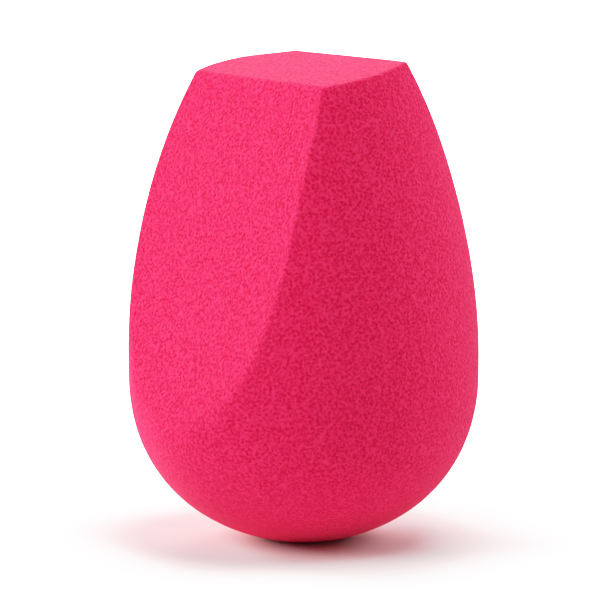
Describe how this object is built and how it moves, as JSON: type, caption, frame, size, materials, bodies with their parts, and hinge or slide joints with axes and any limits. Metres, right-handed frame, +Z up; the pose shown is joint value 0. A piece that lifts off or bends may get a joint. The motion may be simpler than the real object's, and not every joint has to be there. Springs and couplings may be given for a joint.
{
  "type": "makeup sponge",
  "caption": "Egg-shaped makeup sponge of fine pink foam, rounded below, with sliced flat faces on its upper sides and a slanted flat tip for blending make-up.",
  "frame": {"origin": "centre of the small flat on the underside that the sponge stands on", "axes": "+Z up along the egg's axis; the sliced faces look toward -Y and +Y, and the top slants down toward -Y; X lies along the sliced faces"},
  "size_m": [0.0434, 0.0424, 0.0597],
  "materials": {
    "foam": "matte open-cell polyurethane foam, fine porous grain, faint fuzzy sheen"
  },
  "bodies": {
    "root": {"foam_body": "foam"}
  },
  "joints": []
}
